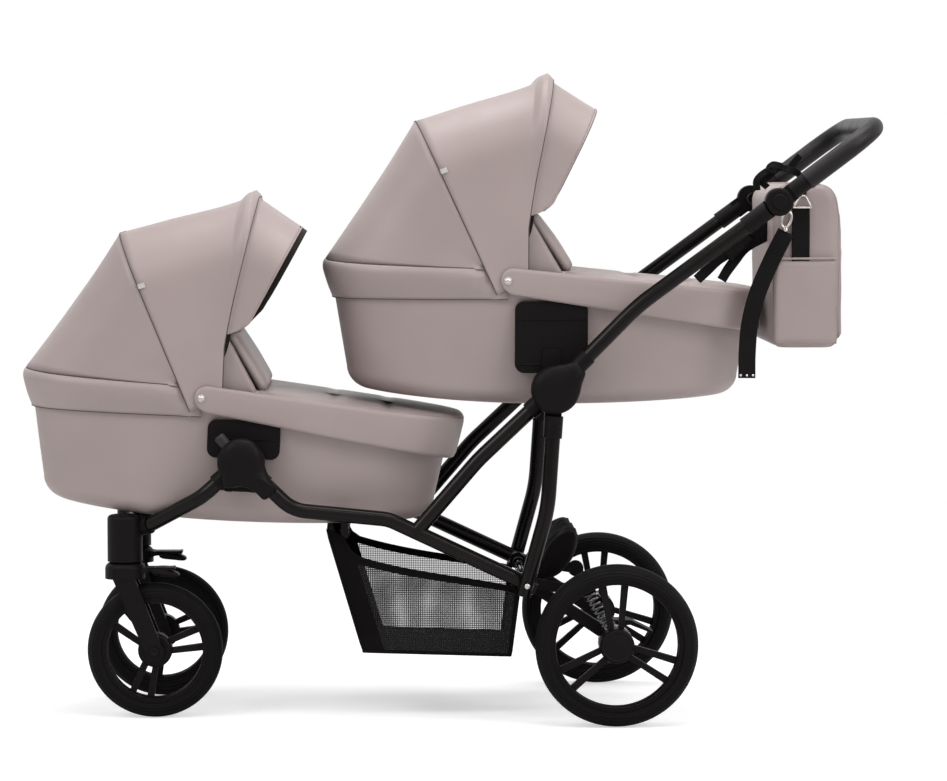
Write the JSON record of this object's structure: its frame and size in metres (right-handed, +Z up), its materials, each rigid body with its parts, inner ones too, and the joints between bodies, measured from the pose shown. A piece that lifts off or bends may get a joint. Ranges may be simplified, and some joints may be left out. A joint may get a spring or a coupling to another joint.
{
  "type": "tandem pram",
  "caption": "Tandem pram: hooded carrycots one behind the other on a folding tube frame with a mesh basket, swivel front wheels, sprung rear axle and handle bag.",
  "frame": {"origin": "on the floor under the middle of the bounding box", "axes": "+X towards the push handle, +Y to the pram's right side, +Z up"},
  "size_m": [1.5495, 0.604, 1.1568],
  "materials": {
    "frame": "satin black paint on tube",
    "plastic": "fine-grained black moulding",
    "tyre": "matt black foam-filled tyre",
    "grip_cover": "black leather-look wrap",
    "steel": "bright plated",
    "mesh": "dark cloth with mesh sides",
    "webbing": "black webbing",
    "lining": "soft dark lining",
    "leatherette": "taupe-grey leather-look cloth"
  },
  "bodies": {
    "chassis": {"lower_rails": "frame", "front_tubes": "frame", "front_hubs": "plastic", "rear_legs": "frame", "diagonals": "frame", "rear_hubs": "plastic", "cross_tubes": "frame", "swivel_housings": "plastic", "spring_brackets": "plastic", "frame_bolts": "steel", "basket": "mesh", "springs": "steel"},
    "rear_axle": {"swing_arms": "plastic", "axle_tube": "frame"},
    "brake": {"brake_pedal": "plastic"},
    "handle": {"handle_tubes": "frame", "fold_covers": "plastic", "tilt_housings": "plastic"},
    "grip": {"grip_bar": "plastic", "grip_sleeve": "grip_cover"},
    "bag": {"bag_body": "leatherette", "bag_straps": "webbing", "bag_clips": "steel"},
    "left_rear_wheel": {"left_rear_tyre": "tyre", "left_rear_rim": "plastic"},
    "left_fork": {"left_fork": "plastic"},
    "left_lock": {"left_swivel_lock": "plastic"},
    "left_front_wheel": {"left_front_tyre": "tyre", "left_front_rim": "plastic"},
    "left_button": {"left_tilt_button": "plastic"},
    "right_rear_wheel": {"right_rear_tyre": "tyre", "right_rear_rim": "plastic"},
    "right_fork": {"right_fork": "plastic"},
    "right_lock": {"right_swivel_lock": "plastic"},
    "right_front_wheel": {"right_front_tyre": "tyre", "right_front_rim": "plastic"},
    "right_button": {"right_tilt_button": "plastic"},
    "front_carrycot": {"front_tub": "leatherette", "front_collar": "leatherette", "front_mattress": "lining", "front_apron": "leatherette", "front_adapters": "plastic", "front_fittings": "steel", "front_hood_back": "leatherette"},
    "front_mid_bow": {"front_mid_bow": "frame", "front_hood_top": "leatherette"},
    "front_front_bow": {"front_front_bow": "frame", "front_visor": "leatherette"},
    "rear_carrycot": {"rear_tub": "leatherette", "rear_collar": "leatherette", "rear_mattress": "lining", "rear_apron": "leatherette", "rear_adapters": "plastic", "rear_fittings": "steel", "rear_hood_back": "leatherette"},
    "rear_mid_bow": {"rear_mid_bow": "frame", "rear_hood_top": "leatherette"},
    "rear_front_bow": {"rear_front_bow": "frame", "rear_visor": "leatherette"}
  },
  "joints": [
    {"name": "rear_suspension", "type": "hinge", "parent": "chassis", "child": "rear_axle", "pos_m": [0.134, 0, 0.248], "axis": [0, -1, 0], "range_deg": [0, 5], "stiffness_Nm_per_rad": 60, "springref_deg": -24.06, "deforming": ["springs"]},
    {"name": "brake_pedal", "type": "hinge", "parent": "rear_axle", "child": "brake", "pos_m": [0.292, 0, 0.145], "axis": [0, 1, 0], "range_deg": [0, 20]},
    {"name": "left_rear_spin", "type": "hinge", "parent": "rear_axle", "child": "left_rear_wheel", "pos_m": [0.292, -0.28, 0.145], "axis": [0, 1, 0], "continuous": true},
    {"name": "left_swivel", "type": "hinge", "parent": "chassis", "child": "left_fork", "pos_m": [-0.586, -0.139, 0.283], "axis": [0, 0, 1], "continuous": true},
    {"name": "left_front_spin", "type": "hinge", "parent": "left_fork", "child": "left_front_wheel", "pos_m": [-0.5325, -0.139, 0.122], "axis": [0, 1, 0], "continuous": true},
    {"name": "left_swivel_lock", "type": "hinge", "parent": "left_fork", "child": "left_lock", "pos_m": [-0.548, -0.139, 0.268], "axis": [0, -1, 0], "range_deg": [0, 18]},
    {"name": "right_rear_spin", "type": "hinge", "parent": "rear_axle", "child": "right_rear_wheel", "pos_m": [0.292, 0.28, 0.145], "axis": [0, 1, 0], "continuous": true},
    {"name": "right_swivel", "type": "hinge", "parent": "chassis", "child": "right_fork", "pos_m": [-0.586, 0.139, 0.283], "axis": [0, 0, 1], "continuous": true},
    {"name": "right_front_spin", "type": "hinge", "parent": "right_fork", "child": "right_front_wheel", "pos_m": [-0.5325, 0.139, 0.122], "axis": [0, 1, 0], "continuous": true},
    {"name": "right_swivel_lock", "type": "hinge", "parent": "right_fork", "child": "right_lock", "pos_m": [-0.548, 0.139, 0.268], "axis": [0, -1, 0], "range_deg": [0, 18]},
    {"name": "handle_fold", "type": "hinge", "parent": "chassis", "child": "handle", "pos_m": [0.183, 0, 0.597], "axis": [0, -1, 0], "range_deg": [0, 100]},
    {"name": "handle_tilt", "type": "hinge", "parent": "handle", "child": "grip", "pos_m": [0.57981, 0, 0.92996], "axis": [0, 1, 0], "range_deg": [-50, 40]},
    {"name": "left_tilt_button", "type": "slide", "parent": "grip", "child": "left_button", "axis": [0, 1, 0], "range_m": [0, 0.003], "stiffness_N_per_m": 600, "springref_m": -0.002},
    {"name": "right_tilt_button", "type": "slide", "parent": "grip", "child": "right_button", "axis": [0, -1, 0], "range_m": [0, 0.003], "stiffness_N_per_m": 600, "springref_m": -0.002},
    {"name": "bag_take_off", "type": "slide", "parent": "chassis", "child": "bag", "axis": [0.3, 0, -0.9539], "range_m": [0, 0.601], "deforming": ["bag_straps"]},
    {"name": "rear_carrycot_lift", "type": "slide", "parent": "chassis", "child": "rear_carrycot", "axis": [0, 0, -1], "range_m": [-0.3, 0]},
    {"name": "front_carrycot_lift", "type": "slide", "parent": "chassis", "child": "front_carrycot", "axis": [-0.0436, 0, -0.999], "range_m": [-0.1501, 0]},
    {"name": "front_hood_fold", "type": "hinge", "parent": "front_carrycot", "child": "front_mid_bow", "pos_m": [-0.466, 0, 0.556], "axis": [0, -1, 0], "range_deg": [0, 40], "deforming": ["front_hood_back"]},
    {"name": "front_hood_visor", "type": "hinge", "parent": "front_mid_bow", "child": "front_front_bow", "pos_m": [-0.466, 0, 0.556], "axis": [0, -1, 0], "range_deg": [0, 24.1], "deforming": ["front_hood_top"]},
    {"name": "rear_hood_fold", "type": "hinge", "parent": "rear_carrycot", "child": "rear_mid_bow", "pos_m": [0.0815, 0, 0.764], "axis": [0, -1, 0], "range_deg": [0, 40], "deforming": ["rear_hood_back"]},
    {"name": "rear_hood_visor", "type": "hinge", "parent": "rear_mid_bow", "child": "rear_front_bow", "pos_m": [0.0815, 0, 0.764], "axis": [0, -1, 0], "range_deg": [0, 24.1], "deforming": ["rear_hood_top"]}
  ],
  "couplings": [
    {"joint": "bag_take_off", "follows": "handle_fold", "m_per_rad": 0.3438},
    {"joint": "front_carrycot_lift", "follows": "rear_carrycot_lift", "ratio": 0.5},
    {"joint": "front_hood_visor", "follows": "front_hood_fold", "ratio": 0.6},
    {"joint": "rear_hood_visor", "follows": "rear_hood_fold", "ratio": 0.6}
  ]
}
